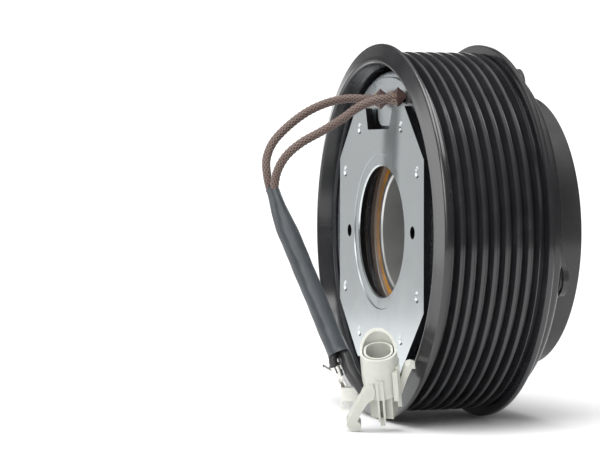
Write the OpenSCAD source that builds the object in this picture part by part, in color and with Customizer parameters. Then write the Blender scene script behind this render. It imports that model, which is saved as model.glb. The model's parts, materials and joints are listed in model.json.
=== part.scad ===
// Electromagnetic pulley clutch, eight grooves, with field coil, damped hub and lead set.
// Frame: origin on the rear face of the coil mounting plate, on the shaft axis.
// The axis runs along Y, the hub points to -Y, +Z is up. Units: mm.

/* [Pulley] */
// outer radius of the two pulley rims
rim_r = 58; // [50:0.5:66]
// pitch of the belt grooves
pitch = 3.56; // [3.3:0.01:3.8]
// radius of the ridges between the grooves
ridge_r = 55.6; // [53:0.1:57]
// depth of a belt groove
groove_d = 2.5; // [2:0.1:3]
// half of the pulley width
rim_t = 17.8; // [16:0.1:20]
// radius of the wall inside the pulley
bowl_r = 51; // [49:0.1:51.5]

/* [Coil] */
// half of the width of the mounting plate over its two side flats
plate_hw = 37.5; // [32:0.5:38]
// thickness of the mounting plate
plate_t = 2.2; // [1.6:0.1:3]
// radius of the pilot hole in the mounting plate
pilot_r = 20.3; // [18:0.1:21]
// outer radius of the coil housing
coil_ro = 49.8; // [48:0.1:50.2]
// inner radius of the coil housing
coil_ri = 31.2; // [31:0.1:33]
// diameter of the two locating holes
pin_d = 3.9; // [3:0.1:5]

/* [Bearing] */
// bore radius of the bearing
brg_ri = 19; // [17.5:0.1:20]
// outer radius of the bearing
brg_ro = 27; // [26:0.1:27.5]
// width of the bearing
brg_w = 18; // [16:0.5:20]
// balls in each of the two rows
ball_n = 14; // [10:1:16]

/* [Hub] */
// outer radius of the hub drum
drum_r = 42.3; // [40:0.1:44]
// radius of the recess in the hub face
recess_r = 30.9; // [28:0.1:32]
// radius on which the rivets sit
rivet_r = 46.8; // [45:0.1:48]
// turn of the four ears about the axis, degrees
ear_turn = 16; // [0:1:89]
// outer radius of the armature plate
arm_r = 52.4; // [50:0.1:53.5]
// air gap between the armature plate and the rotor
air_gap = 0.5; // [0.3:0.05:0.8]

/* [Cord] */
// diameter of each braided lead
lead_d = 2.7; // [2:0.1:3.5]
// diameter of the shrink sleeve
sleeve_d = 6.6; // [5:0.1:8]

/* [Hidden] */
$fn = 96;
mid = -15.5;                    // middle plane of the pulley
lip_f = mid - rim_t;            // front lip plane
web_f = lip_f + 0.5;            // friction face of the rotor
web_b = web_f + 5;
arm_b = web_f - air_gap;        // rear face of the armature plate
arm_f = arm_b - 5;
fl_b = arm_f - 0.8;             // flange of the drum
fl_f = fl_b - 1.8;
face = fl_f - 7.9;              // front face of the drum
step_y = face + 3.3;
floor_y = face + 5.7;
boss_b = -28.5;
cb = -3;                      // rear face of the coil housing
cf = -25.9;                       // open front of the coil housing
brg_b = -7.5;
brg_f = brg_b - brg_w;
brg_m = brg_b - brg_w / 2;
ball_r = 2.45;
ball_pr = 23.1;
floor_z = -rim_r;

module ax() { rotate([-90, 0, 0]) children(); }
module at(a) { rotate([0, -a, 0]) children(); }
// solid of revolution about Y: points are [radius, y]
module spin(p) { ax() rotate_extrude($fn = 180) polygon(p); }
module tube_y(ro, ri, y0, y1) { spin([[ri, y0], [ro, y0], [ro, y1], [ri, y1]]); }
module cyl_y(r, y0, y1, f = 64) { translate([0, y0, 0]) ax() cylinder(r = r, h = y1 - y0, $fn = f); }
module hole_at(a, rr, r, y0, y1) { at(a) translate([rr, 0, 0]) cyl_y(r, y0, y1, 48); }
// quarter round: from angle a0 to a1 about [r, y]
function arc(r, y, q, a0, a1, n = 5) = [for (i = [0:n]) let (a = a0 + (a1 - a0) * i / n) [r + q * cos(a), y + q * sin(a)]];
// arc-shaped slot through a disc
module slot_y(r, w, a0, a1, y0, y1) {
  ax() translate([0, 0, y0]) rotate([0, 0, -a1]) rotate_extrude(angle = a1 - a0, $fn = 180)
    translate([r - w / 2, 0]) square([w, y1 - y0]);
  hole_at(a0, r, w / 2 + 0.2, y0 - 0.5, y1 + 0.5);
  hole_at(a1, r, w / 2 + 0.2, y0 - 0.5, y1 + 0.5);
}

exit_x = [0.4, -15];            // where the two leads leave the coil
exit_z = 40.9;

// ---------- coil side ----------
module plate_outline() {
  polygon([[plate_hw, 22.5], [23.4, 37.2], [15.6, 38.4], [13.1, 38.4], [11, 31.6], [-7.9, 31.6], [-11, 38.4],
    [-21.3, 38.4], [-plate_hw, 22.2], [-plate_hw, -23], [-20.3, -40.2], [20.3, -40.2], [plate_hw, -23]]);
}
module coil_plate() {
  color([0.78, 0.80, 0.82]) difference() {
    union() {
      intersection() {
        rotate([90, 0, 0]) linear_extrude(height = plate_t) plate_outline();
        spin([[0, -plate_t], [45.2, -plate_t], [45.2, -0.35], [44.8, 0], [0, 0]]);
      }
      for (a = [30, 60, 120, 150, 210, 240, 300, 330]) hole_at(a, 37, 2.6, cb, -plate_t + 0.2);
    }
    translate([0, -5, 0]) cyl_y(pilot_r, 0, 6, 180);
    spin([[0, -0.35], [23.9, -0.35], [24.2, 0.1], [0, 0.1]]);
    spin([[0, -0.75], [pilot_r, -0.75], [pilot_r + 0.5, -0.25], [0, -0.25]]);
    for (a = [30, 60, 120, 150, 210, 240, 300, 330]) at(a) translate([37, -0.4, 0]) ax() cylinder(r1 = 1.1, r2 = 1.95, h = 0.5, $fn = 32);
    for (a = [-1, 179]) hole_at(a, 28.2, pin_d / 2, -3, 0.1);
  }
}
module coil_housing() {
  color([0.05, 0.05, 0.055]) difference() {
    spin(concat([[coil_ri, cf], [coil_ri + 2.4, cf], [coil_ri + 2.4, cb - 2.6], [coil_ro - 2.6, cb - 2.6], [coil_ro - 2.6, cf], [coil_ro, cf]],
      arc(coil_ro - 1.6, cb - 1.6, 1.6, 0, 90), arc(coil_ri + 1, cb - 1, 1, 90, 180)));
    for (x = exit_x) translate([x, 0, exit_z]) cyl_y(1.9, cb - 4, cb + 1, 32);
    translate([-8.6, cb - 1.6, 30]) cube([20.2, 3, 8]);
  }
}
module coil_bobbin() {
  color([0.72, 0.66, 0.52]) difference() {
    spin([[coil_ri + 2.6, cf + 1.8], [coil_ro - 2.8, cf + 1.8], [coil_ro - 2.8, cf + 3.2], [coil_ri + 4, cf + 3.2],
      [coil_ri + 4, cb - 4.2], [coil_ro - 2.8, cb - 4.2], [coil_ro - 2.8, cb - 2.7], [coil_ri + 2.6, cb - 2.7]]);
    for (x = exit_x) translate([x, 0, exit_z]) cyl_y(1.7, cb - 6, cb, 32);
  }
}
module coil_winding() {
  color([0.72, 0.38, 0.18]) spin([for (p = concat([[coil_ri + 4.1, cf + 3.4]],
    [for (i = [0:13]) let (y = cf + 3.4 + i * 1.06) each [[coil_ro - 3.6, y + 0.1], [coil_ro - 3.3, y + 0.53], [coil_ro - 3.6, y + 0.96]]],
    [[coil_ri + 4.1, cf + 3.4 + 14 * 1.06 - 0.1]])) p]);
}
module coil_resin() {
  color([0.10, 0.09, 0.08]) spin([[coil_ri + 2.5, cf + 0.2], [coil_ro - 2.7, cf + 0.2], [coil_ro - 2.7, cf + 1.7], [coil_ri + 2.5, cf + 1.7]]);
}
module lead_cover() {
  color([0.80, 0.81, 0.82]) difference() {
    intersection() {
      spin([[31.5, cb + 0.02], [coil_ro - 2, cb + 0.02], [coil_ro - 2, cb + 0.5], [coil_ro - 2.2, cb + 0.7], [31.5, cb + 0.7]]);
      translate([0, cb, 0]) rotate([90, 0, 0]) translate([0, 0, -1]) linear_extrude(height = 1.2)
        polygon([[7.8, 35], [9, 41.5], [9, 60], [-20.5, 60], [-20.5, 39.4], [-8.6, 39.4], [-8.3, 36.4], [-7.6, 34.2], [-6, 33], [-4, 32.7], [3.5, 32.7], [6, 33.2]]);
    }
    for (x = exit_x) translate([x, 0, exit_z]) cyl_y(1.6, cb - 1, cb + 2, 32);
  }
}
// folded four-sided boot with a round way through for the lead
module boot(x, z, h, low) {
  translate([x, -0.4, z]) difference() {
    polyhedron(points = [[0, 0, h], [-2.5, -1.85, 0.3], [2.6, 2.1, -0.2], [-2.6, 1.5, 0], [2.5, -1.8, 0], [0, -0.1, -low]],
      faces = [[0, 1, 3], [0, 3, 2], [0, 2, 4], [0, 4, 1], [5, 3, 1], [5, 2, 3], [5, 4, 2], [5, 1, 4]]);
    cyl_y(1.42, -4, 4, 24);
  }
}
module lead_boots() {
  color([0.22, 0.13, 0.11]) { boot(exit_x[0], exit_z, 3.3, 3.3); boot(exit_x[1], exit_z, 3.4, 2.4); }
}

// ---------- lead routes ----------
route_a = [[0.4, -1.4, 40.9], [1.7, 5.2, 41], [3.1, 10, 41], [4.5, 15.8, 39.7], [5.4, 21.9, 36.9], [4.6, 28.3, 32.5], [3.2, 33.5, 27.6], [1.8, 36.1, 22.5], [0.6, 36.3, 17.6], [0.2, 35.5, 13.4]];
route_b = [[-15, -1.4, 40.8], [-13.4, 5.4, 40.4], [-11.2, 10.8, 38.2], [-8.9, 15.9, 34.3], [-7.4, 21.7, 30.7], [-6.8, 27.7, 27.4], [-5.4, 32.1, 23.4], [-3.9, 34.5, 18.6], [-3.1, 35.3, 13.4]];
route_s = [[-1.45, 35.4, 13.6], [-6, 33.5, 4.4], [-13.4, 29.9, -9], [-20.8, 26.3, -22.5], [-27.6, 22.9, -35.2]];
route_ta = [[-27.9, 21.1, -35.1], [-29.8, 20.3, -38.8], [-31.7, 18.8, -42.4], [-33, 16.9, -45.6]];
route_tb = [[-27.3, 24.7, -35.3], [-27.7, 24.75, -37.2], [-28.15, 24.3, -38.9]];
function cr(p0, p1, p2, p3, t) = 0.5 * ((2 * p1) + (p2 - p0) * t + (2 * p0 - 5 * p1 + 4 * p2 - p3) * t * t + (3 * p1 - p0 - 3 * p2 + p3) * t * t * t);
function dense(r, n) = let (m = len(r)) concat([for (i = [0:m - 2]) for (k = [0:n - 1])
  cr(r[max(i - 1, 0)], r[i], r[i + 1], r[min(i + 2, m - 1)], k / n)], [r[m - 1]]);
function unit(v) = v / norm(v);
function tan_at(p, i) = unit(p[min(i + 1, len(p) - 1)] - p[max(i - 1, 0)]);
module sweep(p, rr, sides) {
  m = len(p);
  pts = [for (i = [0:m - 1]) let (t = tan_at(p, i), s = unit(cross(t, [1, 0.15, 0])), u = cross(s, t), r = is_list(rr) ? rr[i] : rr)
    for (k = [0:sides - 1]) p[i] + r * (cos(360 * k / sides) * s + sin(360 * k / sides) * u)];
  polyhedron(points = pts, faces = concat([[for (k = [0:sides - 1]) k]], [[for (k = [sides - 1:-1:0]) (m - 1) * sides + k]],
    [for (i = [0:m - 2]) for (k = [0:sides - 1]) let (a = i * sides + k, b = i * sides + (k + 1) % sides) each [[a, a + sides, b], [b, a + sides, b + sides]]]), convexity = 6);
}
module lead_a() { color([0.30, 0.20, 0.17]) sweep(dense(route_a, 2), lead_d / 2, 8); }
module lead_b() { color([0.33, 0.22, 0.18]) sweep(dense(route_b, 2), lead_d / 2, 8); }
module heat_sleeve() {
  p = dense(route_s, 2);
  color([0.10, 0.12, 0.14]) sweep(p, [for (i = [0:len(p) - 1]) i == 0 ? sleeve_d / 2 - 0.3 : sleeve_d / 2], 12);
}
module tail_a() { color([0.06, 0.06, 0.065]) sweep(dense(route_ta, 2), 1.9, 8); }
module tail_b() { color([0.06, 0.06, 0.065]) sweep(dense(route_tb, 1), 1.35, 8); }

// ---------- connector on the leads ----------
con_p = [-38, 14.3, -34.0];
module con() { translate(con_p) rotate([0, 0, -111]) rotate([0, -4, 0]) rotate([26, 0, 0]) children(); }
module crimp_terminal() {
  color([0.75, 0.75, 0.74]) translate([-28.15, 24.5, -38.2]) rotate([0, 0, -111]) rotate([18, -22, 0]) {
    difference() {
      translate([0, 0, -3.6]) cylinder(r = 1.75, h = 3.6, $fn = 32);
      translate([0, 0, -2.6]) cylinder(r = 1.4, h = 3, $fn = 32);
      translate([-0.25, -2.2, -4]) cube([0.5, 1.6, 5]);
    }
    translate([-0.9, 1.0, -9.3]) cube([1.8, 0.6, 6.9]);
    translate([-0.9, -0.9, -8.9]) cube([0.4, 2.1, 3.4]);
    translate([0.5, -0.9, -8.9]) cube([0.4, 2.1, 3.4]);
    translate([-1.7, -1.0, -1.6]) rotate([0, -34, 0]) cube([0.5, 1.9, 3.0]);
    translate([1.2, -1.0, -1.6]) cube([0.45, 1.9, 1.3]);
  }
}
module terminal_cap() {
  color([0.88, 0.88, 0.85]) translate([-27.05, 19.4, -45.0]) rotate([0, 0, -111]) difference() {
    union() {
      translate([-2.3, -2.0, -4.0]) cube([4.7, 3.8, 4.0]);
      translate([-2.6, -0.9, -6.9]) difference() {
        cube([2.4, 1.2, 3.6]);
        translate([0.6, -0.2, 0.7]) cube([1.2, 1.6, 2.0]);
      }
    }
    translate([-1.6, -1.3, -3.2]) cube([3.2, 2.4, 3.4]);
  }
}
module connector_body() {
  color([0.80, 0.80, 0.74]) con() difference() {
    union() {
      translate([0, 0, -13]) cylinder(r = 5.45, h = 18.4, $fn = 64);
      translate([0.6, 0, -20.6]) rotate([0, 0, -15]) rotate([0, 0, -90]) translate([-3.4, -3.4, 0]) rotate([0, 0, 0]) cube([6.8, 6.8, 9]);
      translate([-1.3, -6.0, -20.2]) cube([0.6, 2.6, 13.8]);
      translate([0.2, -6.0, -20.2]) cube([0.6, 2.6, 13.8]);
      translate([-1.3, -5.7, -13]) cube([2.1, 1.7, 6.6]);
      translate([3.6, -4.9, -14]) cube([1.5, 2.2, 9.6]);
      translate([4.6, -3.2, -17]) cube([1.2, 5.4, 13.6]);
      translate([-0.9, -4.9, -22.3]) cube([1.4, 1.4, 3]);
    }
    translate([0, 0, -7]) difference() {
      cylinder(r = 4.7, h = 14, $fn = 64);
      translate([0, 0, -1]) cylinder(r = 4.3, h = 9.2, $fn = 64);
    }
    translate([0, 0, -6]) cylinder(r = 3.65, h = 14, $fn = 64);
    for (x = [-1.5, 1.5]) translate([x, 0, -21]) cylinder(r = 0.55, h = 18, $fn = 24);
    translate([-8, 0, 0]) rotate([90, 0, 90]) linear_extrude(height = 16) polygon([[-9, 0.35], [-0.3, 0.35], [0.5, 0.6], [8, 7.7], [8, 12], [-9, 12]]);
  }
}
module connector_pins() {
  color([0.76, 0.74, 0.68]) con() for (x = [-1.5, 1.5]) translate([x, 0, -19.8]) {
    cylinder(r = 0.5, h = 17.6, $fn = 24);
    translate([0, 0, 17.6]) cylinder(r1 = 0.5, r2 = 0.25, h = 0.6, $fn = 24);
  }
}
module connector_lock() {
  color([0.80, 0.80, 0.76]) con() {
    difference() {
      translate([0, -1.9, 0]) rotate([90, 0, 0]) linear_extrude(height = 3.6)
        polygon([[-2.2, -7.6], [-4.2, -8.6], [-5.5, -10.2], [-7.6, -14.2], [-10, -18.4], [-10.8, -19.8], [-11, -21.1], [-10.3, -22.4], [-7.6, -23.3], [-6.7, -22.6], [-6.6, -21.2], [-7.6, -19.8], [-6.1, -16.6], [-4.2, -13.8], [-2.2, -12.4], [-1.7, -10]]);
      translate([-12, -4.5, -22.4]) cube([3.0, 1.7, 3.2]);
    }
    translate([0, 1.6, 0]) rotate([90, 0, 0]) linear_extrude(height = 3.0)
      polygon([[5.0, -14.6], [6.0, -13.8], [8.0, -8.4], [9.4, -5.4], [10.4, -5.5], [10.4, -4.6], [9.0, -3.9], [7.6, -4.3], [7.0, -5.4], [5.0, -10.8]]);
  }
}

// ---------- bearing ----------
module race_cut(rr) { for (y = [brg_m - 3.6, brg_m + 3.6]) ax() translate([0, 0, y]) rotate_extrude($fn = 120) translate([rr, 0]) circle(r = 2.52, $fn = 32); }
module bearing_inner() {
  color([0.72, 0.73, 0.74]) difference() {
    spin([[brg_ri + 0.5, brg_f], [21.2, brg_f], [21.2, brg_b], [brg_ri + 0.5, brg_b], [brg_ri, brg_b - 0.5], [brg_ri, brg_f + 0.5]]);
    race_cut(ball_pr);
  }
}
module bearing_outer() {
  color([0.70, 0.71, 0.72]) difference() {
    spin([[25.0, brg_f], [brg_ro - 0.5, brg_f], [brg_ro, brg_f + 0.5], [brg_ro, brg_b - 0.5], [brg_ro - 0.5, brg_b], [25.0, brg_b]]);
    race_cut(ball_pr);
    for (y = [brg_b - 2.0, brg_f + 1.0]) tube_y(25.5, 24, y, y + 1.0);
  }
}
module bearing_balls() {
  color([0.80, 0.80, 0.82]) for (row = [0, 1]) for (i = [0:ball_n - 1]) at(360 * (i + 0.5 * row) / ball_n)
    translate([ball_pr, brg_m + (row == 0 ? -3.6 : 3.6), 0]) sphere(r = ball_r, $fn = 24);
}
module bearing_cage() {
  color([0.55, 0.45, 0.30]) difference() {
    tube_y(23.8, 22.3, brg_m - 6.3, brg_m + 6.3);
    for (row = [0, 1]) for (i = [0:ball_n - 1]) at(360 * (i + 0.5 * row) / ball_n)
      translate([20, brg_m + (row == 0 ? -3.6 : 3.6), 0]) rotate([0, 90, 0]) cylinder(r = 2.6, h = 6, $fn = 24);
  }
}
module seal(y) { spin([[21.5, y + 0.1], [25.4, y + 0.1], [25.4, y + 0.9], [24.4, y + 0.9], [23.8, y + 0.6], [22.4, y + 0.6], [21.9, y + 0.9], [21.5, y + 0.9]]); }
module seal_rear() { color([0.66, 0.40, 0.12]) seal(brg_b - 2.0); }
module seal_front() { color([0.66, 0.40, 0.12]) seal(brg_f + 1.0); }
module snap_ring() {
  color([0.35, 0.35, 0.36]) difference() {
    tube_y(28.2, 25.4, brg_b + 0.02, brg_b + 1.18);
    translate([0, brg_b - 1, 0]) at(-90) translate([27, 0, 0]) cube([8, 6, 5], center = true);
    for (a = [-101, -79]) hole_at(a, 26.4, 0.6, brg_b - 1, brg_b + 2);
  }
}

// ---------- pulley ----------
function groove(y) = [[ridge_r, y - 1.4], [ridge_r - 0.2, y - 1.22], [ridge_r - groove_d, y - 0.35], [ridge_r - groove_d, y + 0.35], [ridge_r - 0.2, y + 1.22], [ridge_r, y + 1.4]];
module pulley_rim() {
  t1 = 4 * pitch;
  color([0.05, 0.05, 0.055]) spin(concat(
    [[bowl_r, mid - 13.5], [54.4, mid - rim_t + 0.6], [55.0, mid - rim_t]],
    arc(rim_r - 1.1, mid - rim_t + 1.1, 1.1, 270, 360),
    [[rim_r, mid - t1 - 1.75], [rim_r - 0.3, mid - t1 - 1.5], [ridge_r - 1.3, mid - t1 - 1.2], [ridge_r - 1.3, mid - t1 - 0.75], [ridge_r - 0.2, mid - t1 - 0.4]],
    [for (i = [0:7]) each groove(mid - t1 + pitch * (i + 0.5))],
    [[ridge_r - 0.2, mid + t1 + 0.4], [ridge_r - 1.3, mid + t1 + 0.75], [ridge_r - 1.3, mid + t1 + 1.2], [rim_r - 0.3, mid + t1 + 1.5], [rim_r, mid + t1 + 1.75]],
    [[rim_r, mid + 15.7]], arc(rim_r - 1.0, mid + 15.9, 1.0, 10, 62),
    [[56.4, mid + 17.1], [54.1, mid + 17.8], [52.9, mid + 18.25], [52.4, mid + 18.2], [52.0, mid + 17.8], [bowl_r, mid + 13.5]]));
}
module rotor() {
  color([0.06, 0.06, 0.065]) difference() {
    spin(rotor_profile());
    for (i = [0:5]) {
      slot_y(34.6, 2.4, 60 * i + 8, 60 * i + 50, web_f - 1, web_b + 1);
      slot_y(46.4, 2.4, 60 * i - 21, 60 * i + 21, web_f - 1, web_b + 1);
    }
  }
}
function rotor_profile() = [[24.8, web_f + 0.6], [25.4, web_f], [38.4, web_f], [38.4, web_f + 1.5], [42.4, web_f + 1.5], [42.4, web_f], [bowl_r, web_f], [bowl_r, web_b],
  [30.9, web_b], [30.3, web_b + 0.6], [30.3, -5.0], [29.7, -4.4], [27.6, -4.4], [brg_ro, -5.0], [brg_ro, brg_b + 1.2], [28.4, brg_b + 1.2], [28.4, brg_b], [brg_ro, brg_b],
  [brg_ro, brg_f], [24.8, brg_f]];
module friction_ring() { color([0.28, 0.24, 0.20]) tube_y(42.3, 38.5, web_f + 0.1, web_f + 1.5); }

// ---------- hub and armature ----------
module ears() { for (i = [0:3]) at(ear_turn + 90 * i) children(); }
module ear_shape() {
  hull() { translate([rivet_r, 0]) circle(r = 5.3, $fn = 32); translate([39, 0]) circle(r = 9.5, $fn = 32); }
}
module hub_cup() {
  color([0.04, 0.04, 0.045]) difference() {
    union() {
      spin(concat([[drum_r - 1.8, face + 0.5]], arc(drum_r - 0.5, face + 0.5, 0.5, 270, 360),
        [[drum_r, fl_f - 1.2], [drum_r + 0.35, fl_f - 0.35], [drum_r + 1.2, fl_f], [46.0, fl_f], [46.4, fl_f + 0.4], [46.4, fl_b], [drum_r - 1.8, fl_b]]));
      ears() translate([0, fl_b, 0]) rotate([90, 0, 0]) linear_extrude(height = 1.8) difference() { ear_shape(); circle(r = 42, $fn = 96); }
    }
    for (i = [0:3]) hole_at(ear_turn + 90 * i, rivet_r, 2.0, fl_f - 1, fl_b + 1);
    for (a = [ear_turn, ear_turn + 180]) at(a) translate([39, face - 1, -2]) cube([2.1, 2.0, 4]);
  }
}
module ear_spacers() {
  color([0.05, 0.05, 0.055]) for (i = [0:3]) at(ear_turn + 90 * i) translate([rivet_r, 0, 0]) difference() {
    cyl_y(4.6, fl_b, arm_f, 48);
    cyl_y(2.0, fl_b - 1, arm_f + 1, 48);
  }
}
module armature_plate() {
  color([0.05, 0.05, 0.055]) difference() {
    spin(concat([[19.5, arm_b], [19.5, arm_f + 0.4], [19.9, arm_f]], [[arm_r - 3.4, arm_f], [arm_r - 3.2, arm_f + 0.3], [arm_r - 2.9, arm_f + 0.3], [arm_r - 2.7, arm_f]],
      arc(arm_r - 1.6, arm_f + 1.6, 1.6, 270, 360), [[arm_r, arm_b - 0.4], [arm_r - 0.4, arm_b]]));
    for (i = [0:3]) {
      hole_at(ear_turn + 90 * i, rivet_r, 2.0, arm_f - 1, arm_b + 1);
      hole_at(ear_turn + 90 * i, rivet_r, 3.3, arm_b - 2.2, arm_b + 1);
      slot_y(40.4, 2.4, ear_turn + 90 * i - 36, ear_turn + 90 * i + 36, arm_f - 1, arm_b + 1);
    }
  }
}
module rivets() {
  color([0.74, 0.73, 0.66]) for (i = [0:3]) at(ear_turn + 90 * i) translate([rivet_r, 0, 0])
    spin(concat([[0, fl_f - 1.7], [1.5, fl_f - 1.7], [1.7, fl_f - 1.45], [2.4, fl_f - 1.2], [2.9, fl_f - 0.9], [3.0, fl_f - 0.5], [3.0, fl_f], [1.95, fl_f],
      [1.95, arm_b - 2.2], [3.1, arm_b - 2.2], [2.7, arm_b - 0.8], [0, arm_b - 0.5]]));
}
module rubber_ring() {
  color([0.06, 0.06, 0.06]) spin([[33.05, face + 1.5], [35, face + 1.1], [39, face + 1.1], [40.35, face + 1.5], [40.35, fl_b - 0.4], [38.6, fl_b - 1.4], [35, fl_b - 1.4], [33.05, fl_b - 0.9]]);
}
module hub_shell() {
  color([0.07, 0.07, 0.075]) difference() {
    spin(concat([[recess_r, step_y - 0.0], [recess_r, face + 0.7]], arc(recess_r + 0.7, face + 0.7, 0.7, 180, 270),
      [[32.7, face], [32.95, face + 0.25], [33.2, face + 0.25], [33.4, face + 0.1], [39.8, face + 0.1], [40.2, face + 0.5], [40.2, face + 1.0], [33, face + 1.0], [33, fl_f + 0.5], [recess_r, fl_f + 0.5]]));
    for (a = [ear_turn, ear_turn + 180]) at(a) translate([39, face - 1, -1.9]) cube([3, 4, 3.8]);
  }
}
module teeth(ri, ro, n, y0, y1) {
  for (i = [0:n - 1]) at(360 * i / n) rotate([90, 0, 0]) translate([0, 0, -y1]) linear_extrude(height = y1 - y0)
    polygon([[ri, -0.55], [ri, 0.55], [ro, 0.85], [ro, -0.85]]);
}
module hub_core() {
  color([0.16, 0.16, 0.17]) difference() {
    union() {
      spin([[9.4, floor_y + 0.4], [9.8, floor_y], [29.3, floor_y], [29.6, step_y + 0.2], [29.8, step_y], [recess_r - 0.02, step_y], [recess_r - 0.02, floor_y + 2.2],
        [14.6, floor_y + 2.2], [13.6, floor_y + 3.2], [13.6, boss_b - 0.6], [13, boss_b], [6.6, boss_b], [6.6, -36.5], [3.4, -36.5], [3.4, -38.0], [8.6, -38.0], [8.6, floor_y + 1.0]]);
      teeth(7.5, 9.0, 18, floor_y + 1.6, -38.5);
      teeth(5.9, 7.0, 16, -36.6, boss_b - 0.6);
    }
    cyl_y(3.4, -60, -20, 48);
  }
}
module hub_washer() { color([0.80, 0.81, 0.82]) spin([[3.5, -38.85], [4.0, -39], [6.9, -39], [7.2, -38.8], [7.2, -38.02], [3.5, -38.02]]); }

coil_plate();
coil_housing();
coil_bobbin();
coil_winding();
coil_resin();
lead_cover();
lead_boots();
lead_a();
lead_b();
heat_sleeve();
tail_a();
tail_b();
crimp_terminal();
terminal_cap();
connector_body();
connector_lock();
connector_pins();
bearing_inner();
bearing_balls();
bearing_cage();
bearing_outer();
seal_rear();
seal_front();
snap_ring();
pulley_rim();
rotor();
friction_ring();
hub_cup();
ear_spacers();
armature_plate();
rivets();
rubber_ring();
hub_shell();
hub_core();
hub_washer();
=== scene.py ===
import json
import math
import random

import bmesh
import bpy
from mathutils import Matrix, Vector


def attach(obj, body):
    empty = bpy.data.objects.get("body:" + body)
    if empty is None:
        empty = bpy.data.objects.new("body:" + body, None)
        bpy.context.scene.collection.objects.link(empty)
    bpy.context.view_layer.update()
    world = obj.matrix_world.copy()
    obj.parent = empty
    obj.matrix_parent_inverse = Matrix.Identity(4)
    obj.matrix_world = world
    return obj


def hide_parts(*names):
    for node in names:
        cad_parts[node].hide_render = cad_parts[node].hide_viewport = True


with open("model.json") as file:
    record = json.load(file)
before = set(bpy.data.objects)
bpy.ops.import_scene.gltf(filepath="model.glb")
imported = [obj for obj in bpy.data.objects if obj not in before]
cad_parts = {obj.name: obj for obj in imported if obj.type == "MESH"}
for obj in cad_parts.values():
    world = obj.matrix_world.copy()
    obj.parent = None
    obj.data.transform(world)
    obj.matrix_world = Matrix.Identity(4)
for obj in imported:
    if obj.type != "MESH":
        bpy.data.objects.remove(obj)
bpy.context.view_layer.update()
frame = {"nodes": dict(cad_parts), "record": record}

scene = bpy.context.scene
scene.view_settings.view_transform = "Standard"
scene.view_settings.look = "None"
MM = 0.001

# ------------------------------------------------------------------ camera
AZ, EL = math.radians(-108.087), math.radians(1.788)
BACK = Vector((math.sin(AZ) * math.cos(EL), -math.cos(AZ) * math.cos(EL), math.sin(EL)))
cam_data = bpy.data.cameras.new("camera")
cam_data.sensor_width = 36.0
cam_data.lens = 135.8
cam_data.clip_start, cam_data.clip_end = 0.02, 20
cam = bpy.data.objects.new("camera", cam_data)
scene.collection.objects.link(cam)
cam.location = (-0.65765, 0.24075, 0.02356)
cam.rotation_mode = "QUATERNION"
cam.rotation_quaternion = (-BACK).to_track_quat("-Z", "Y")
scene.camera = cam


# ------------------------------------------------------------------ helpers
def new_object(name, mesh, body, smooth=True):
    o = bpy.data.objects.new(name, mesh)
    scene.collection.objects.link(o)
    if smooth:
        for p in mesh.polygons:
            p.use_smooth = True
    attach(o, body)
    return o


def catmull(route, n):
    """Points on a smooth curve through the route, n per span, in metres."""
    pts = [Vector(p) * MM for p in route]
    out = []
    for i in range(len(pts) - 1):
        p0, p1, p2, p3 = pts[max(i - 1, 0)], pts[i], pts[i + 1], pts[min(i + 2, len(pts) - 1)]
        for k in range(n):
            t = k / n
            out.append(0.5 * (2 * p1 + (p2 - p0) * t + (2 * p0 - 5 * p1 + 4 * p2 - p3) * t * t + (3 * p1 - p0 - 3 * p2 + p3) * t**3))
    out.append(pts[-1])
    return out


def resample(pts, step):
    """The same line with points an even distance apart."""
    d = [0.0]
    for a, b in zip(pts, pts[1:]):
        d.append(d[-1] + (b - a).length)
    n = max(2, round(d[-1] / step))
    out, j = [], 0
    for i in range(n + 1):
        s = d[-1] * i / n
        while j < len(d) - 2 and d[j + 1] < s:
            j += 1
        f = (s - d[j]) / max(d[j + 1] - d[j], 1e-12)
        out.append(pts[j].lerp(pts[j + 1], min(max(f, 0), 1)))
    return out, d[-1]


def frames(pts):
    """Tangent and two normals at each point, turning as little as possible."""
    tans = []
    for i in range(len(pts)):
        tans.append((pts[min(i + 1, len(pts) - 1)] - pts[max(i - 1, 0)]).normalized())
    u = tans[0].cross(Vector((1, 0.15, 0))).normalized()
    out = []
    for t in tans:
        u = (u - t * u.dot(t)).normalized()
        out.append((t, u, t.cross(u)))
    return out


def tube(name, pts, radius, sides, body, cap=True, step=None):
    """A mesh tube with UVs: u round the tube and v along it, both in millimetres. radius(s, a) gives the radius at length s and angle a."""
    fr = frames(pts)
    bm = bmesh.new()
    uv = bm.loops.layers.uv.new("along")
    rings, s = [], 0.0
    lengths = []
    for i, p in enumerate(pts):
        if i:
            s += (p - pts[i - 1]).length
        lengths.append(s)
        t, u, v = fr[i]
        ring = []
        for k in range(sides):
            a = 2 * math.pi * k / sides
            r = radius(s, a)
            if isinstance(r, tuple):
                q = p + u * (r[0] * math.cos(a)) + v * (r[1] * math.sin(a))
            else:
                q = p + (u * math.cos(a) + v * math.sin(a)) * r
            ring.append(bm.verts.new(q))
        rings.append(ring)
    for i in range(len(rings) - 1):
        for k in range(sides):
            kk = (k + 1) % sides
            f = bm.faces.new((rings[i][k], rings[i][kk], rings[i + 1][kk], rings[i + 1][k]))
            us = (k / sides, (k + 1) / sides, (k + 1) / sides, k / sides)
            vs = (lengths[i], lengths[i], lengths[i + 1], lengths[i + 1])
            for loop, x, y in zip(f.loops, us, vs):
                loop[uv].uv = (x, y / MM)
    if cap:
        bm.faces.new(list(reversed(rings[0])))
        bm.faces.new(rings[-1])
    mesh = bpy.data.meshes.new(name)
    bm.normal_update()
    bm.to_mesh(mesh)
    bm.free()
    return new_object(name, mesh, body)


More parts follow.
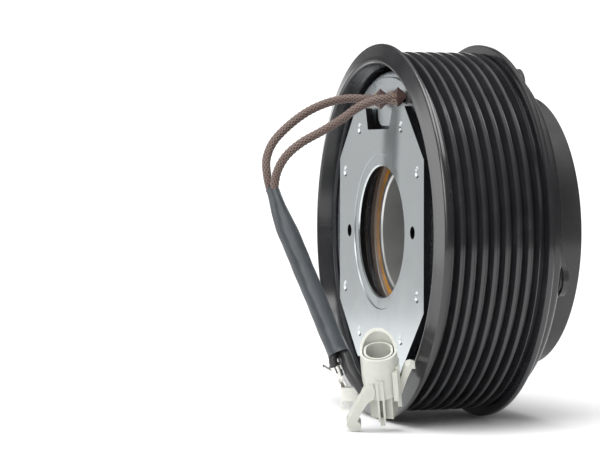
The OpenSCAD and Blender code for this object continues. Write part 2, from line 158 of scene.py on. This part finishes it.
# ------------------------------------------------------------------ leads, from the routes of the CAD
ROUTE_A = [(0.4, -1.4, 40.9), (1.7, 5.2, 41), (3.1, 10, 41), (4.5, 15.8, 39.7), (5.4, 21.9, 36.9), (4.6, 28.3, 32.5), (3.2, 33.5, 27.6), (1.8, 36.1, 22.5), (0.6, 36.3, 17.6), (0.2, 35.5, 13.4)]
ROUTE_B = [(-15, -1.4, 40.8), (-13.4, 5.4, 40.4), (-11.2, 10.8, 38.2), (-8.9, 15.9, 34.3), (-7.4, 21.7, 30.7), (-6.8, 27.7, 27.4), (-5.4, 32.1, 23.4), (-3.9, 34.5, 18.6), (-3.1, 35.3, 13.4)]
ROUTE_S = [(-1.45, 35.4, 13.6), (-6, 33.5, 4.4), (-13.4, 29.9, -9), (-20.8, 26.3, -22.5), (-27.6, 22.9, -35.2)]
ROUTE_TA = [(-27.9, 21.1, -35.1), (-29.8, 20.3, -38.8), (-31.7, 18.8, -42.4), (-33, 16.9, -45.6)]
ROUTE_TB = [(-27.3, 24.7, -35.3), (-27.7, 24.75, -37.2), (-28.15, 24.3, -38.9)]
LEAD_R = 1.3 * MM


def braid_radius(base, amp, turns, pitch):
    """Two families of strands that wind opposite ways and pass over and under each other."""
    def r(s, a):
        x = a / (2 * math.pi) * turns
        y = s / pitch
        p = math.cos(2 * math.pi * (x + y))
        q = math.cos(2 * math.pi * (x - y))
        over = math.cos(2 * math.pi * (x + y) / 2) * math.cos(2 * math.pi * (x - y) / 2)
        return base + amp * (0.55 * max(p, 0) ** 0.6 + 0.55 * max(q, 0) ** 0.6) - amp * 0.5 + amp * 0.25 * over
    return r


leads = {}
for name, route in (("lead_a", ROUTE_A), ("lead_b", ROUTE_B)):
    pts, length = resample(catmull(route, 12), 0.22 * MM)
    o = tube("braided_" + name, pts, braid_radius(LEAD_R, 0.10 * MM, 8, 1.5 * MM), 48, "coil_side")
    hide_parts(name)
    leads[name] = (o, pts, length)

sleeve_pts, sleeve_len = resample(catmull(ROUTE_S, 12), 0.5 * MM)


def sleeve_radius(s, a):
    f = min(max(s / (16 * MM), 0), 1)
    f = f * f * (3 - 2 * f)
    wide = (2.75 + 0.45 * f) * MM
    flat = (1.75 + 1.4 * f) * MM
    # two lobes over the leads at the top, and shallow shrink wrinkles further down
    lobe = (1 - f) * 0.18 * MM * abs(math.sin(a)) ** 3
    wr = 0.05 * MM * math.sin(3 * a + s / MM * 0.33) + 0.03 * MM * math.sin(7 * a + 1.3 + s / MM * 0.9)
    end = 0.16 * MM * math.exp(-((sleeve_len - s) / (0.6 * MM)) ** 2) + 0.12 * MM * math.exp(-(s / (0.5 * MM)) ** 2)
    return (flat + wr - lobe + end, wide + wr + end)


sleeve = tube("shrink_sleeve", sleeve_pts, sleeve_radius, 64, "coil_side", cap=False)
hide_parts("heat_sleeve")


def tail_radius(base):
    def r(s, a):
        return base + 0.04 * MM * math.sin(2 * a + s / MM * 0.7)
    return r


tail_a_pts, tail_a_len = resample(catmull([(-24.6, 23.1, -29.5)] + ROUTE_TA, 10), 0.4 * MM)
tail_a = tube("cable_tail_a", tail_a_pts, tail_radius(1.85 * MM), 32, "coil_side")
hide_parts("tail_a")
tail_b_pts, tail_b_len = resample(catmull([(-25.3, 25.1, -31.0)] + ROUTE_TB, 10), 0.4 * MM)
tail_b = tube("cable_tail_b", tail_b_pts, tail_radius(1.3 * MM), 32, "coil_side")
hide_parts("tail_b")

N = frame["nodes"]


# ------------------------------------------------------------------ lead boots, folded from thick varnished cloth
def fold_boot(name, x, z, h, low, seed):
    rnd = random.Random(seed)
    P = [Vector(p) for p in ((0, 0, h), (-2.45, -1.8, 0.3), (2.5, 2.05, -0.2), (-2.5, 1.45, 0), (2.4, -1.75, 0), (0, -0.1, -low))]
    bm = bmesh.new()
    vs = [bm.verts.new(p) for p in P]
    for f in ((0, 1, 3), (0, 3, 2), (0, 2, 4), (0, 4, 1), (5, 3, 1), (5, 2, 3), (5, 4, 2), (5, 1, 4)):
        bm.faces.new([vs[i] for i in f])
    bmesh.ops.subdivide_edges(bm, edges=bm.edges[:], cuts=9, use_grid_fill=True)
    bm.normal_update()
    for v in bm.verts:
        c = v.co
        # facets sink between the folds, the four folds stay sharp, the tips curl a little
        m = max(abs(c.x) / 2.5, abs(c.z) / h)
        fold = 1 - min(abs(abs(c.x) / 2.5 + abs(c.z) / h - 1), 1)
        sink = 0.42 * max(0, 1 - abs(2 * (abs(c.z) / h) - 1)) * max(0, 1 - abs(2 * (abs(c.x) / 2.5) - 1))
        v.co = c - v.normal * sink + Vector((0, 0.25 * max(0, abs(c.z) / h - 0.55), 0))
        v.co += Vector((rnd.uniform(-1, 1), rnd.uniform(-1, 1), rnd.uniform(-1, 1))) * 0.03
    bmesh.ops.triangulate(bm, faces=bm.faces[:])
    for v in bm.verts:
        v.co = (v.co + Vector((x, -0.4, z))) * MM
    mesh = bpy.data.meshes.new(name)
    bm.normal_update()
    bm.to_mesh(mesh)
    bm.free()
    return new_object(name, mesh, "coil_side", smooth=False)


boots = [fold_boot("lead_boot_a", 0.4, 40.9, 3.3, 3.3, 3), fold_boot("lead_boot_b", -15, 40.9, 3.4, 2.4, 8)]
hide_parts("lead_boots")
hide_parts("lead_boots")


def threads(name, centre, n, seed):
    """Loose ends of the braid where it enters a boot."""
    rnd = random.Random(seed)
    bm = bmesh.new()
    for k in range(n):
        a = 2 * math.pi * k / n + rnd.uniform(-0.3, 0.3)
        r = rnd.uniform(1.25, 1.5)
        p = Vector((centre[0] + r * math.cos(a), centre[1] + rnd.uniform(0.6, 1.4), centre[2] + r * math.sin(a)))
        d = Vector((0.55 * math.cos(a), rnd.uniform(-0.9, 0.5), 0.55 * math.sin(a))).normalized()
        side = d.orthogonal().normalized()
        up = d.cross(side)
        ring0, m = None, 5
        length = rnd.uniform(1.0, 2.2)
        for i in range(m + 1):
            t = i / m
            q = p + d * length * t + Vector((0, 0.5 * t * t * rnd.uniform(0.2, 1), -0.25 * t * t))
            w = 0.085 * (1 - 0.7 * t)
            ring = [bm.verts.new((q + side * w * math.cos(2 * math.pi * j / 6) + up * w * math.sin(2 * math.pi * j / 6)) * MM) for j in range(6)]
            if ring0:
                for j in range(6):
                    bm.faces.new((ring0[j], ring0[(j + 1) % 6], ring[(j + 1) % 6], ring[j]))
            else:
                bm.faces.new(list(reversed(ring)))
            ring0 = ring
        bm.faces.new(ring0)
    mesh = bpy.data.meshes.new(name)
    bm.normal_update()
    bm.to_mesh(mesh)
    bm.free()
    o = new_object(name, mesh, "coil_side")
    return o


frays = [threads("braid_ends_a", (0.7, 0.3, 40.9), 16, 5), threads("braid_ends_b", (-14.6, 0.5, 40.85), 22, 9)]


# ------------------------------------------------------------------ materials
class Tree:
    def __init__(self, name):
        self.m = bpy.data.materials.new(name)
        self.m.use_nodes = True
        self.t = self.m.node_tree
        self.t.nodes.clear()
        self.out = self.add("ShaderNodeOutputMaterial")
        self.b = self.add("ShaderNodeBsdfPrincipled")
        self.link(self.b, "BSDF", self.out, "Surface")
        self.co = self.add("ShaderNodeTexCoord")

    def add(self, kind, **kw):
        n = self.t.nodes.new(kind)
        for k, v in kw.items():
            setattr(n, k, v)
        return n

    def link(self, a, x, b, y):
        self.t.links.new(a.outputs[x], b.inputs[y])

    def set(self, **kw):
        for k, v in kw.items():
            self.b.inputs[k.replace("_", " ")].default_value = v

    def mapping(self, scale=(1, 1, 1), source="Object"):
        n = self.add("ShaderNodeMapping")
        n.inputs["Scale"].default_value = scale
        self.link(self.co, source, n, "Vector")
        return n

    def noise(self, size, detail=4.0, rough=0.55, stretch=(1, 1, 1), source="Object"):
        """Noise whose features are about size millimetres."""
        k = 1000.0 / size if source == "Object" else 1.0 / size
        m = self.mapping(tuple(k * x for x in stretch), source)
        n = self.add("ShaderNodeTexNoise")
        n.inputs["Scale"].default_value = 1.0
        n.inputs["Detail"].default_value = detail
        n.inputs["Roughness"].default_value = rough
        self.link(m, "Vector", n, "Vector")
        return n

    def ramp(self, src, out, stops, interp="LINEAR"):
        r = self.add("ShaderNodeValToRGB")
        r.color_ramp.interpolation = interp
        e = r.color_ramp.elements
        e[0].position, e[0].color = stops[0][0], self.col(stops[0][1])
        e[1].position, e[1].color = stops[1][0], self.col(stops[1][1])
        for p, c in stops[2:]:
            x = e.new(p)
            x.color = self.col(c)
        self.link(src, out, r, "Fac")
        return r

    @staticmethod
    def col(c):
        if isinstance(c, (int, float)):
            return (c, c, c, 1)
        return (*c, 1) if len(c) == 3 else c

    def mixcol(self, fac_src, fac_out, a, b, blend="MIX"):
        n = self.add("ShaderNodeMix", data_type="RGBA", blend_type=blend)
        if fac_src is None:
            n.inputs[0].default_value = fac_out
        else:
            self.link(fac_src, fac_out, n, 0)
        for idx, v in ((6, a), (7, b)):
            if isinstance(v, tuple) and hasattr(v[0], "outputs"):
                self.t.links.new(v[0].outputs[v[1]], n.inputs[idx])
            else:
                n.inputs[idx].default_value = self.col(v)
        return n

    def bump(self, src, out, strength, dist_mm, prev=None):
        n = self.add("ShaderNodeBump")
        n.inputs["Strength"].default_value = strength
        n.inputs["Distance"].default_value = dist_mm * MM
        self.link(src, out, n, "Height")
        if prev is not None:
            self.link(prev, "Normal", n, "Normal")
        return n

    def wear(self, size, lo, hi):
        """A 0 to 1 mask of scattered small spots."""
        n = self.noise(size, 3.0, 0.6)
        return self.ramp(n, "Fac", [(lo, 0.0), (hi, 1.0)])


def black_paint(name, base=(0.012, 0.012, 0.0135), rough=(0.16, 0.30), coat=0.35, specks=True, tint=(0.05, 0.05, 0.052)):
    t = Tree(name)
    big = t.noise(18, 4, 0.6)
    fine = t.noise(1.1, 3, 0.5)
    micro = t.noise(0.16, 3, 0.6)
    c = t.ramp(big, "Fac", [(0.3, tuple(x * 0.8 for x in base)), (0.72, tuple(x * 1.5 for x in base))])
    last = (c, "Color")
    if specks:
        sp = t.wear(0.55, 0.745, 0.78)
        m = t.mixcol(sp, "Color", last, tint)
        last = (m, 2)
        dust = t.wear(9, 0.52, 0.85)
        m2 = t.mixcol(None, 0.5, last, last)
        d = t.add("ShaderNodeMath", operation="MULTIPLY")
        t.link(dust, "Color", d, 0)
        d.inputs[1].default_value = 0.22
        t.link(d, 0, m2, 0)
        m2.inputs[7].default_value = (*tint, 1)
        for l in list(m2.inputs[7].links):
            t.t.links.remove(l)
        last = (m2, 2)
    t.t.links.new(last[0].outputs[last[1]], t.b.inputs["Base Color"])
    r = t.ramp(big, "Fac", [(0.25, rough[0]), (0.75, rough[1])])
    t.link(r, "Color", t.b, "Roughness")
    b1 = t.bump(fine, "Fac", 0.10, 0.03)
    b2 = t.bump(micro, "Fac", 0.06, 0.01, b1)
    t.link(b2, "Normal", t.b, "Normal")
    t.set(Metallic=0.0, IOR=1.5)
    t.b.inputs["Coat Weight"].default_value = coat
    t.b.inputs["Coat Roughness"].default_value = 0.12
    return t.m


def metal(name, base, rough, stretch=(1, 1, 1), grain=0.25, grain_strength=0.12, spots=None, bump=0.02, metallic=1.0):
    t = Tree(name)
    brushed = t.noise(grain, 5, 0.6, stretch)
    cloud = t.noise(9, 4, 0.6)
    c = t.ramp(cloud, "Fac", [(0.25, tuple(x * 0.90 for x in base)), (0.75, tuple(min(1, x * 1.05) for x in base))])
    last = (c, "Color")
    if spots:
        s = t.wear(0.8, 0.70, 0.76)
        m = t.mixcol(s, "Color", last, spots)
        last = (m, 2)
    t.t.links.new(last[0].outputs[last[1]], t.b.inputs["Base Color"])
    r = t.ramp(cloud, "Fac", [(0.25, rough[0]), (0.8, rough[1])])
    t.link(r, "Color", t.b, "Roughness")
    b = t.bump(brushed, "Fac", grain_strength, bump)
    t.link(b, "Normal", t.b, "Normal")
    t.set(Metallic=metallic)
    return t.m


def zinc_sheet(name, base, rough, bend=True):
    t = Tree(name)
    cloud = t.noise(11, 4, 0.6)
    grain = t.noise(0.22, 4, 0.6)
    c = t.ramp(cloud, "Fac", [(0.25, tuple(x * 0.93 for x in base)), (0.75, tuple(min(1, x * 1.04) for x in base))])
    stain = t.wear(1.6, 0.66, 0.74)
    m1 = t.mixcol(stain, "Color", (c, "Color"), tuple(x * 0.86 for x in base))
    # painted shade: every face whose object normal turns away from the Y axis (cut edges, bores, side walls) is mixed
    # to near black and made rougher, standing in for the dark reflection and shadow on these faces; faces along Y
    # keep the bright zinc colour
    sep = t.add("ShaderNodeSeparateXYZ")
    t.link(t.co, "Normal", sep, "Vector")
    ab = t.add("ShaderNodeMath", operation="ABSOLUTE")
    t.link(sep, "Y", ab, 0)
    painted_dark_side_mask = t.ramp(ab, 0, [(0.45, 1.0), (0.62, 0.0)])
    # painted shade: the near-black colour on faces turned away from Y
    m2 = t.mixcol(painted_dark_side_mask, "Color", (m1, 2), (0.018, 0.018, 0.019))
    t.link(m2, 2, t.b, "Base Color")
    r = t.ramp(cloud, "Fac", [(0.25, rough[0]), (0.8, rough[1])])
    m3 = t.mixcol(painted_dark_side_mask, "Color", (r, "Color"), (0.45, 0.45, 0.45))
    t.link(m3, 2, t.b, "Roughness")
    b = t.bump(grain, "Fac", 0.04, 0.02)
    if bend:
        # the pressed sheet has a slight bend that runs down its middle
        mp = t.mapping((1, 1, 1))
        s2 = t.add("ShaderNodeSeparateXYZ")
        t.link(mp, "Vector", s2, "Vector")
        k = t.add("ShaderNodeMath", operation="MULTIPLY_ADD")
        t.link(s2, "Z", k, 0)
        k.inputs[1].default_value = 0.13
        t.link(s2, "X", k, 2)
        mr = t.add("ShaderNodeMapRange", interpolation_type="SMOOTHSTEP")
        mr.inputs["From Min"].default_value = -0.0155
        mr.inputs["From Max"].default_value = 0.0035
        t.link(k, 0, mr, "Value")
        b = t.bump(mr, 0, 1.0, 1.55, b)
    t.link(b, "Normal", t.b, "Normal")
    t.set(Metallic=1.0)
    return t.m


def plastic(name, base, rough=(0.35, 0.5), trans=0.0, sss=0.0, mottled=0.06, bump_mm=0.02, size=0.35):
    t = Tree(name)
    cloud = t.noise(3.5, 4, 0.6)
    fine = t.noise(size, 3, 0.55)
    c = t.ramp(cloud, "Fac", [(0.25, tuple(x * (1 - mottled) for x in base)), (0.75, tuple(min(1, x * (1 + mottled)) for x in base))])
    t.link(c, "Color", t.b, "Base Color")
    r = t.ramp(cloud, "Fac", [(0.25, rough[0]), (0.8, rough[1])])
    t.link(r, "Color", t.b, "Roughness")
    b = t.bump(fine, "Fac", 0.12, bump_mm)
    t.link(b, "Normal", t.b, "Normal")
    if sss:
        t.b.inputs["Subsurface Weight"].default_value = sss
        t.b.inputs["Subsurface Radius"].default_value = (1.0, 0.9, 0.7)
        t.b.inputs["Subsurface Scale"].default_value = 0.0012
    if trans:
        t.b.inputs["Transmission Weight"].default_value = trans
    return t.m


def braid_material():
    t = Tree("braided_sleeving")
    m = t.mapping((1, 1, 1), "UV")
    sep = t.add("ShaderNodeSeparateXYZ")
    t.link(m, "Vector", sep, "Vector")

    def strand(sign):
        a = t.add("ShaderNodeMath", operation="MULTIPLY")
        t.link(sep, "X", a, 0)
        a.inputs[1].default_value = 8.0
        b = t.add("ShaderNodeMath", operation="MULTIPLY")
        t.link(sep, "Y", b, 0)
        b.inputs[1].default_value = sign / 1.5
        s = t.add("ShaderNodeMath", operation="ADD")
        t.link(a, 0, s, 0)
        t.link(b, 0, s, 1)
        w = t.add("ShaderNodeMath", operation="MULTIPLY")
        t.link(s, 0, w, 0)
        w.inputs[1].default_value = 2 * math.pi
        c = t.add("ShaderNodeMath", operation="COSINE")
        t.link(w, 0, c, 0)
        return c

    p, q = strand(1), strand(-1)
    mx = t.add("ShaderNodeMath", operation="MAXIMUM")
    t.link(p, 0, mx, 0)
    t.link(q, 0, mx, 1)
    grain = t.noise(0.5, 4, 0.65)
    add = t.add("ShaderNodeMath", operation="ADD")
    t.link(mx, 0, add, 0)
    t.link(grain, "Fac", add, 1)
    # painted shade and highlight: the colour follows the strand height, near black in the gaps between strands and
    # lighter on the strand crowns; the grain noise adds random tone
    c = t.ramp(add, 0, [(0.0, (0.008, 0.005, 0.0045)), (1.0, (0.125, 0.078, 0.062))])
    e = c.color_ramp.elements.new(0.55)
    e.color = (0.040, 0.022, 0.019, 1)
    t.link(c, "Color", t.b, "Base Color")
    fibre = t.noise(0.09, 3, 0.6)
    b1 = t.bump(mx, 0, 0.35, 0.08)
    b2 = t.bump(fibre, "Fac", 0.35, 0.03, b1)
    t.link(b2, "Normal", t.b, "Normal")
    r = t.ramp(grain, "Fac", [(0.2, 0.48), (0.8, 0.72)])
    t.link(r, "Color", t.b, "Roughness")
    t.b.inputs["Sheen Weight"].default_value = 0.25
    return t.m


def rubberish(name, base, rough=(0.4, 0.6), fine=0.5, strength=0.25, depth=0.05, streak=(1, 1, 1), sheen=0.0):
    t = Tree(name)
    cloud = t.noise(5, 4, 0.6)
    n = t.noise(fine, 4, 0.6, streak)
    c = t.ramp(cloud, "Fac", [(0.2, tuple(x * 0.7 for x in base)), (0.8, tuple(x * 1.35 for x in base))])
    t.link(c, "Color", t.b, "Base Color")
    r = t.ramp(n, "Fac", [(0.2, rough[0]), (0.8, rough[1])])
    t.link(r, "Color", t.b, "Roughness")
    b = t.bump(n, "Fac", strength, depth)
    t.link(b, "Normal", t.b, "Normal")
    if sheen:
        t.b.inputs["Sheen Weight"].default_value = sheen
    return t.m


def winding_material():
    t = Tree("enamelled_wire")
    n = t.noise(0.8, 3, 0.6, (1, 6, 1))
    c = t.ramp(n, "Fac", [(0.3, (0.35, 0.12, 0.04)), (0.7, (0.62, 0.27, 0.10))])
    t.link(c, "Color", t.b, "Base Color")
    m = t.mapping((1, 1, 1))
    w = t.add("ShaderNodeTexWave", bands_direction="Y")
    w.inputs["Scale"].default_value = 320
    t.link(m, "Vector", w, "Vector")
    b = t.bump(w, "Fac", 0.6, 0.2)
    t.link(b, "Normal", t.b, "Normal")
    t.set(Metallic=0.9, Roughness=0.3)
    return t.m


M = {
    "black_paint": black_paint("gloss_black_paint"),
    "black_hub": black_paint("hub_black_paint", base=(0.016, 0.016, 0.017), rough=(0.24, 0.38), coat=0.2),
    "hub_steel": black_paint("hub_floor_dark", base=(0.06, 0.062, 0.063), rough=(0.30, 0.42), coat=0.1, tint=(0.12, 0.12, 0.12)),
    "zinc_plate": zinc_sheet("bright_zinc", (0.55, 0.59, 0.60), (0.17, 0.24)),
    "zinc_housing": zinc_sheet("housing_zinc", (0.60, 0.64, 0.66), (0.24, 0.34), bend=False),
    "bobbin_plastic": plastic("bobbin_nylon", (0.60, 0.52, 0.36)),
    "copper": winding_material(),
    "resin": plastic("potting_resin", (0.03, 0.028, 0.025), (0.15, 0.3)),
    "boot": rubberish("lead_boot", (0.060, 0.030, 0.024), (0.42, 0.62), 0.4, 0.5, 0.08, sheen=0.1),
    "braid": braid_material(),
    "thread": rubberish("loose_threads", (0.40, 0.30, 0.20), (0.5, 0.7), 0.3, 0.2, 0.02, sheen=0.3),
    "shrink": rubberish("shrink_tube", (0.020, 0.026, 0.032), (0.36, 0.52), 0.6, 0.18, 0.04, sheen=0.1),
    "wire_pvc": rubberish("cable_insulation", (0.012, 0.012, 0.013), (0.34, 0.48), 0.5, 0.15, 0.03),
    "tin": metal("tinned_terminal", (0.74, 0.73, 0.70), (0.22, 0.36), (1, 1, 1), 0.2, 0.2, spots=(0.35, 0.32, 0.26)),
    "nylon": plastic("connector_nylon", (0.48, 0.485, 0.44), (0.34, 0.5), sss=0.25, mottled=0.05),
    "nylon_clear": plastic("cap_nylon", (0.78, 0.78, 0.73), (0.25, 0.4), trans=0.25, sss=0.2),
    "bearing_steel": metal("ground_steel", (0.62, 0.62, 0.61), (0.30, 0.40), (1, 8, 1), 0.18, 0.10, metallic=0.85),
    "cage_plastic": plastic("cage_polyamide", (0.30, 0.21, 0.11)),
    "seal_rubber": rubberish("bearing_seal", (0.62, 0.28, 0.045), (0.4, 0.55), 0.4, 0.15, 0.03),
    "spring_steel": metal("snap_ring_steel", (0.28, 0.28, 0.29), (0.3, 0.42), (1, 1, 1), 0.2, 0.15),
    "friction": rubberish("friction_compound", (0.10, 0.075, 0.06), (0.7, 0.9), 0.3, 0.6, 0.08),
    "rivet_zinc": metal("rivet_plating", (0.66, 0.655, 0.57), (0.28, 0.42), (1, 1, 1), 0.3, 0.35, spots=(0.25, 0.24, 0.18), bump=0.05),
    "rubber": rubberish("damper_rubber", (0.018, 0.018, 0.018), (0.5, 0.7), 0.6, 0.3, 0.06),
    "washer_zinc": metal("washer_plating", (0.72, 0.75, 0.78), (0.16, 0.28), (1, 1, 1), 0.3, 0.12),
}
slots = {s["node"]: s["material_slot"] for s in frame["record"]["subparts"]}
for name, o in N.items():
    o.data.materials.clear()
    o.data.materials.append(M["zinc_housing" if name in ("coil_housing", "lead_cover") else slots[name]])
for b in boots:
    b.data.materials.append(M["boot"])
for b in frays:
    b.data.materials.append(M["thread"])
for o, m in ((leads["lead_a"][0], "braid"), (leads["lead_b"][0], "braid"), (sleeve, "shrink"), (tail_a, "wire_pvc"), (tail_b, "wire_pvc")):
    o.data.materials.append(M[m])

# ------------------------------------------------------------------ floor, light
FLOOR_Z = -0.058


def stage_mesh(name, verts, faces, mat):
    me = bpy.data.meshes.new(name)
    me.from_pydata(verts, [], faces)
    me.materials.append(mat)
    o = bpy.data.objects.new(name, me)
    scene.collection.objects.link(o)
    return o


ft = Tree("floor_pale")
fn = ft.noise(60, 2, 0.5)
fc = ft.ramp(fn, "Fac", [(0.3, 0.90), (0.7, 0.92)])
ft.link(fc, "Color", ft.b, "Base Color")
ft.set(Roughness=0.9)
ft.b.inputs["Specular IOR Level"].default_value = 0.1
seg = 96
rad = 0.42
stage_mesh("floor", [(0, 0, FLOOR_Z)] + [(rad * math.cos(2 * math.pi * i / seg), rad * math.sin(2 * math.pi * i / seg), FLOOR_Z) for i in range(seg)],
           [(0, 1 + i, 1 + (i + 1) % seg) for i in range(seg)], ft.m)

world = bpy.data.worlds.new("studio")
scene.world = world
world.use_nodes = True
wt = world.node_tree
wt.nodes.clear()
w_out = wt.nodes.new("ShaderNodeOutputWorld")
w_bg = wt.nodes.new("ShaderNodeBackground")
w_co = wt.nodes.new("ShaderNodeTexCoord")
wt.links.new(w_bg.outputs[0], w_out.inputs["Surface"])


def lobe(direction, inner, outer, level):
    """A soft round lamp on the studio's wall, its inner and outer size in degrees."""
    v = Vector(direction).normalized()
    d = wt.nodes.new("ShaderNodeVectorMath")
    d.operation = "DOT_PRODUCT"
    d.inputs[1].default_value = v
    wt.links.new(w_co.outputs["Generated"], d.inputs[0])
    m = wt.nodes.new("ShaderNodeMapRange")
    m.interpolation_type = "SMOOTHSTEP"
    m.inputs["From Min"].default_value = math.cos(math.radians(outer))
    m.inputs["From Max"].default_value = math.cos(math.radians(inner))
    m.inputs["To Min"].default_value = 0
    m.inputs["To Max"].default_value = level
    wt.links.new(d.outputs["Value"], m.inputs["Value"])
    return m.outputs[0]


def add_up(values, base):
    last = None
    for v in values:
        n = wt.nodes.new("ShaderNodeMath")
        n.operation = "ADD"
        if last is None:
            n.inputs[0].default_value = base
        else:
            wt.links.new(last, n.inputs[0])
        wt.links.new(v, n.inputs[1])
        last = n.outputs[0]
    return last


level = add_up([
    lobe((0.951, 0.309, 0.02), 8, 14, 0.55),
    lobe((0.46, 0.87, 0.17), 14, 24, 2.6),
    lobe((-0.70, 0.62, 0.36), 14, 30, 1.6),
    lobe((0.0, 0.0, 1.0), 20, 60, 0.75),
    lobe((0.951, -0.311, -0.02), 14, 26, 1.1),
    lobe((-0.95, -0.31, 0.15), 20, 60, 0.16),
], 0.14)
wt.links.new(level, w_bg.inputs["Strength"])
w_bg.inputs["Color"].default_value = (1, 1, 1, 1)


def area(name, loc, target, size, power, size_y=None, colour=(1, 1, 1)):
    d = bpy.data.lights.new(name, "AREA")
    d.shape = "RECTANGLE"
    d.size, d.size_y = size, size_y or size
    d.energy = power
    d.color = colour
    o = bpy.data.objects.new(name, d)
    scene.collection.objects.link(o)
    o.location = loc
    o.rotation_mode = "QUATERNION"
    o.rotation_quaternion = (Vector(target) - Vector(loc)).to_track_quat("-Z", "Y")
    o.visible_camera = False
    return o


area("key_top", (-0.25, 0.2, 1.1), (0, 0, -0.02), 1.0, 16, 1.0)
area("fill_left", (-0.75, 0.85, 0.5), (-0.02, 0.02, 0), 0.5, 5, 0.5)
